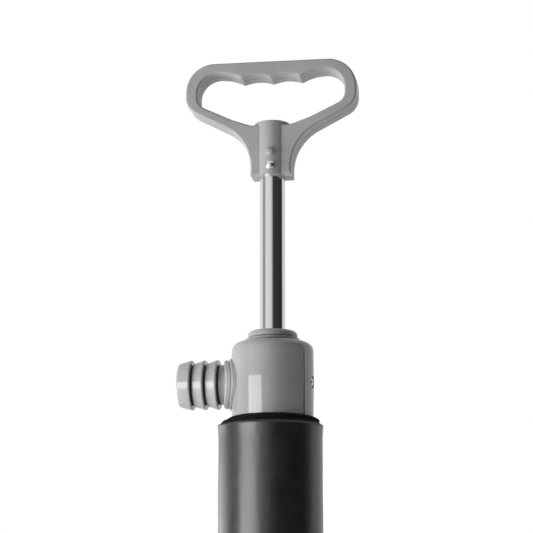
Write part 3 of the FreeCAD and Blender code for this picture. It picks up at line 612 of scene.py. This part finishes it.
def smoothed(corners):
    """An outline from (across, along) corners; one with a third value is rounded by it."""
    points = []
    count = len(corners)
    for n, corner in enumerate(corners):
        if len(corner) == 2:
            points.append(corner)
        else:
            before, after = corners[n - 1], corners[(n + 1) % count]
            points += rounded(corner[:2], before[:2], after[:2], corner[2])
    return points


def lathe(name, outline, place, materials, around=192, closed=True, inner=None):
    """Carries an outline round an axis: place(across, along, angle) says where it goes.

    Faces with inner(across, along) true at both ends take the second material.
    """
    bm = bmesh.new()
    rings = []
    turns = [2 * math.pi * n / around for n in range(around)]
    for across, along in outline:
        rings.append([bm.verts.new(place(across, along, turn) * MM) for turn in turns])
    last = len(rings) if closed else len(rings) - 1
    for level in range(last):
        here, there = rings[level], rings[(level + 1) % len(rings)]
        ends = outline[level], outline[(level + 1) % len(rings)]
        sunk = inner is not None and all(inner(*end) for end in ends)
        for n in range(around):
            after = (n + 1) % around
            face = bm.faces.new((here[n], here[after], there[after], there[n]))
            face.material_index = int(sunk)
    piece = new_piece(name, bm, materials)
    sharpen(piece, SHARP_FROM)
    return piece


def sharpen(piece, degrees):
    """Keeps edges crisp where faces meet at more than this angle."""
    mesh = piece.data
    bm = bmesh.new()
    bm.from_mesh(mesh)
    for edge in bm.edges:
        edge.smooth = edge.calc_face_angle(0) < math.radians(degrees)
    bm.to_mesh(mesh)
    bm.free()


# The spout, in millimetres: radii about its own axis, distances from the pump's axis.
BARB_PITCH = 9.3
FIRST_CREST = 38.4
CREST_RADIUS = 17.45
CONE_START = 15.2
VALLEY_RADIUS = 13.9
SPOUT_BORE = 12.2
GROOVE_WIDTH = 2.4
SPOUT_ROOT = 27.0
RING_RADIUS = 17.1
RING_FACE = 33.8
COLLAR_RADIUS = 18.45
SADDLE_CURVE = 44.7


def spout_frame():
    """The spout's axis height and the head's radius beside it, in millimetres."""
    low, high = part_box("outlet_spout")
    return (low.z + high.z) / 2 / MM, -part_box("pump_head")[0].y / MM


def on_saddle(height, curve):
    """Places points round the spout's axis, with every level bent back to this radius."""
    def place(across, along, turn):
        y = across * math.cos(turn)
        out = along - curve + math.sqrt(curve * curve - y * y)
        return Vector((-out, y, height + across * math.sin(turn)))
    return place


def about_x(height):
    """Places points round an axis that runs out along -X at this height."""
    def place(across, along, turn):
        return Vector((-along, across * math.cos(turn), height + across * math.sin(turn)))
    return place


def make_spout():
    """The hose barbs: three cones with rounded rims and undercut backs, and a rounded mouth."""
    height = spout_frame()[0]
    tip = -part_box("outlet_spout")[0].x / MM - 0.02
    outline = [
        (SPOUT_BORE, SPOUT_ROOT),
        (SPOUT_BORE, tip, 1.1),
        (CONE_START, tip, 2.0),
    ]
    for number in (2, 1, 0):
        crest = FIRST_CREST + BARB_PITCH * number
        outline += [
            (CREST_RADIUS, crest + 0.4, 0.8),
            (CREST_RADIUS, crest - 0.9, 0.7),
            (VALLEY_RADIUS, crest - 0.7),
        ]
        if number:
            outline += [
                (VALLEY_RADIUS, crest - 2.3),
                (CONE_START, crest - 2.1, 0.3),
            ]
    outline += [
        (VALLEY_RADIUS, FIRST_CREST - 2.3),
        (CONE_START, SPOUT_ROOT + 2),
        (14.8, SPOUT_ROOT),
    ]

    # Faces in the grooves behind the crests take a near-black material: painted shade.
    def in_painted_groove_shade(across, along):
        near_barbs = FIRST_CREST - GROOVE_WIDTH < along < tip - 5
        behind_crest = (along - FIRST_CREST) % BARB_PITCH > BARB_PITCH - GROOVE_WIDTH
        return near_barbs and behind_crest and VALLEY_RADIUS - 0.1 < across < 16.4

    # The spout's plastic is the head's made lighter: painted light.
    materials = [spout_plastic, painted_shade_and_reflection]
    piece = lathe("hose_barbs", smoothed(outline), about_x(height), materials, inner=in_painted_groove_shade)
    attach(piece, "barrel")
    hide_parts("outlet_spout")


# The head's seam: degrees round from the front, and millimetres.
SEAM_AZIMUTH = 57.0
SEAM_PROUD = 0.22
SEAM_STEPS = 40


def make_head_seam():
    """The moulding seam up the head's right-hand side: a fine ridge that fades out, coloured
    near-black as a painted dark reflection.
    """
    low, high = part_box("pump_head")
    radius = high.y / MM
    start, end = low.z / MM + 11, high.z / MM - 9.5
    turn = math.radians(SEAM_AZIMUTH)
    out = Vector((math.sin(turn), -math.cos(turn), 0))
    side = Vector((math.cos(turn), math.sin(turn), 0))
    bm = bmesh.new()
    rows = []
    for n in range(SEAM_STEPS + 1):
        rise = n / SEAM_STEPS
        height = Vector((0, 0, start + (end - start) * rise))
        proud = SEAM_PROUD * min(1.0, 8 * rise, 8 * (1 - rise))
        row = []
        for across, up in ((-0.35, -0.25), (-0.15, proud), (0.15, proud), (0.35, -0.25)):
            row.append(bm.verts.new((out * (radius + up) + side * across + height) * MM))
        rows.append(row)
    for here, there in zip(rows, rows[1:]):
        for n in range(3):
            bm.faces.new((here[n], here[n + 1], there[n + 1], there[n]))
    # Near-black material: a painted dark reflection line along the seam.
    piece = new_piece("head_seam", bm, [painted_shade_and_reflection])
    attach(piece, "barrel")


def make_saddle_ring():
    """The ring round the spout's root, narrowed where it sits on its collar."""
    height, head = spout_frame()
    hole, back = 14.0, head + 0.9
    outline = [
        (hole, back),
        (RING_RADIUS - 0.4, back, 0.2),
        (RING_RADIUS, back + 0.6, 0.3),
        (RING_RADIUS, RING_FACE, 0.8),
        (hole, RING_FACE),
    ]
    # The ring takes the spout's lightened plastic: painted light.
    piece = lathe("spout_ring", smoothed(outline), on_saddle(height, SADDLE_CURVE), [spout_plastic])
    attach(piece, "barrel")


def make_collar():
    """The low collar moulded on the head under the spout's ring."""
    height, head = spout_frame()
    hole, sunk, proud = 14.6, head - 4.5, head + 0.95
    outline = [
        (hole, sunk),
        (COLLAR_RADIUS, sunk),
        (COLLAR_RADIUS, proud, 0.8),
        (hole, proud),
    ]
    piece = lathe("spout_collar", smoothed(outline), on_saddle(height, SADDLE_CURVE), [head_plastic])
    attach(piece, "barrel")


# The cross pins, in millimetres.
PIN_DOME = 1.9
PIN_SHANK = 2.2
PIN_LIP = 0.6
PIN_GAP = 0.02


def make_pin(name, node, material):
    """A cross pin with two smooth domed heads, each with a fine lip at its rim."""
    low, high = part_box(node)
    height = (low.z + high.z) / 2 / MM
    rim, crown = high.x / MM, high.y / MM
    seat = crown - PIN_DOME
    half = smoothed([
        (PIN_SHANK, 0.0),
        (PIN_SHANK, seat + PIN_GAP),
        (rim, seat + PIN_GAP, 0.12),
        (rim, seat + 0.45, 0.2),
        (rim - 0.3, seat + PIN_LIP),
    ])[:-1]
    for n in range(11):
        turn = math.radians(90 * n / 10)
        along = seat + PIN_LIP + (crown - seat - (PIN_LIP + PIN_GAP)) * math.sin(turn)
        half.append(((rim - 0.25) * math.cos(turn), along))
    half[-1] = (PIN_GAP, half[-1][1])
    outline = half[:0:-1] + [(across, -along) for across, along in half[1:]]

    def place(across, along, turn):
        return Vector((across * math.cos(turn), along, height + across * math.sin(turn)))

    piece = lathe(name, outline, place, [material], around=64, closed=False)
    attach(piece, "rod")
    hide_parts(node)


WELD = 0.01 * MM
# A loop of no more points than this isn't kept.
SMALL_LOOP = 12


def middle_loops(node):
    """The closed outlines where the plane Y = 0 cuts a node, without the very small ones."""
    bm = bmesh.new()
    bm.from_mesh(node.data)
    bmesh.ops.remove_doubles(bm, verts=bm.verts, dist=WELD)
    geometry = bm.verts[:] + bm.edges[:] + bm.faces[:]
    cut = bmesh.ops.bisect_plane(bm, geom=geometry, plane_co=(0, 0, 0), plane_no=(0, 1, 0), dist=1e-7)
    edges = [e for e in cut["geom_cut"] if isinstance(e, bmesh.types.BMEdge)]
    links = {}
    for edge in edges:
        for vert in edge.verts:
            links.setdefault(vert, []).append(edge)
    loops = []
    unused = set(edges)
    for edge in edges:
        if edge not in unused:
            continue
        unused.discard(edge)
        start, here = edge.verts
        loop = [start.co.copy(), here.co.copy()]
        while here != start:
            onward = [e for e in links[here] if e in unused]
            if not onward:
                break
            unused.discard(onward[0])
            here = onward[0].other_vert(here)
            loop.append(here.co.copy())
        if here == start and len(loop) > SMALL_LOOP:
            loops.append(loop[:-1])
    bm.free()
    return loops


RIDGE_HALF_WIDTH = 0.55 * MM
RIDGE_PROUD = 0.22 * MM
RIDGE_SUNK = 0.10 * MM
RIDGE_CLEAR = 0.01 * MM
# A loop wholly below this height on the handle gets no ridge: it is inside the boss.
BOSS_HEIGHT = 36 * MM
# A loop that reaches further from the axis than this is the handle's outer edge.
OUTER_REACH = 55 * MM


def make_parting_ridge():
    """The mould's parting line: a fine ridge round the handle's outer and inner edge."""
    node = nodes["handle_grip"]
    low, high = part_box("handle_grip")
    side, top = high.x - RIDGE_CLEAR, high.z - RIDGE_CLEAR
    section = ((-RIDGE_HALF_WIDTH, -RIDGE_SUNK), (0, RIDGE_PROUD), (RIDGE_HALF_WIDTH, -RIDGE_SUNK))
    bm = bmesh.new()
    for loop in middle_loops(node):
        count = len(loop)
        if max(point.z for point in loop) < low.z + BOSS_HEIGHT:
            continue
        area = sum(loop[n - 1].x * loop[n].z - loop[n].x * loop[n - 1].z for n in range(count))
        is_outer = max(point.x for point in loop) > OUTER_REACH
        turn = 1 if (area > 0) == is_outer else -1
        rails = []
        for n in range(count):
            along = (loop[(n + 1) % count] - loop[n - 1]).normalized()
            out = Vector((along.z, 0, -along.x)) * turn
            rail = []
            for y, up in section:
                spot = loop[n] + out * up
                spot = (max(-side, min(side, spot.x)), y, min(top, spot.z))
                rail.append(bm.verts.new(spot))
            rails.append(rail)
        for n in range(count):
            here, after = rails[n], rails[(n + 1) % count]
            for strip in range(2):
                bm.faces.new((here[strip], here[strip + 1], after[strip + 1], after[strip]))
    piece = new_piece("handle_parting_ridge", bm, [handle_plastic])
    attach(piece, "rod")


make_camera()
make_world()
make_lights()
make_floor()
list(make_cards())
dress_nodes()
make_float()
make_spout()
make_head_seam()
make_saddle_ring()
make_collar()
make_pin("handle_cross_pin", "handle_pin", handle_plastic)
make_pin("handle_steel_rivet", "handle_rivet", screw_steel)
make_parting_ridge()
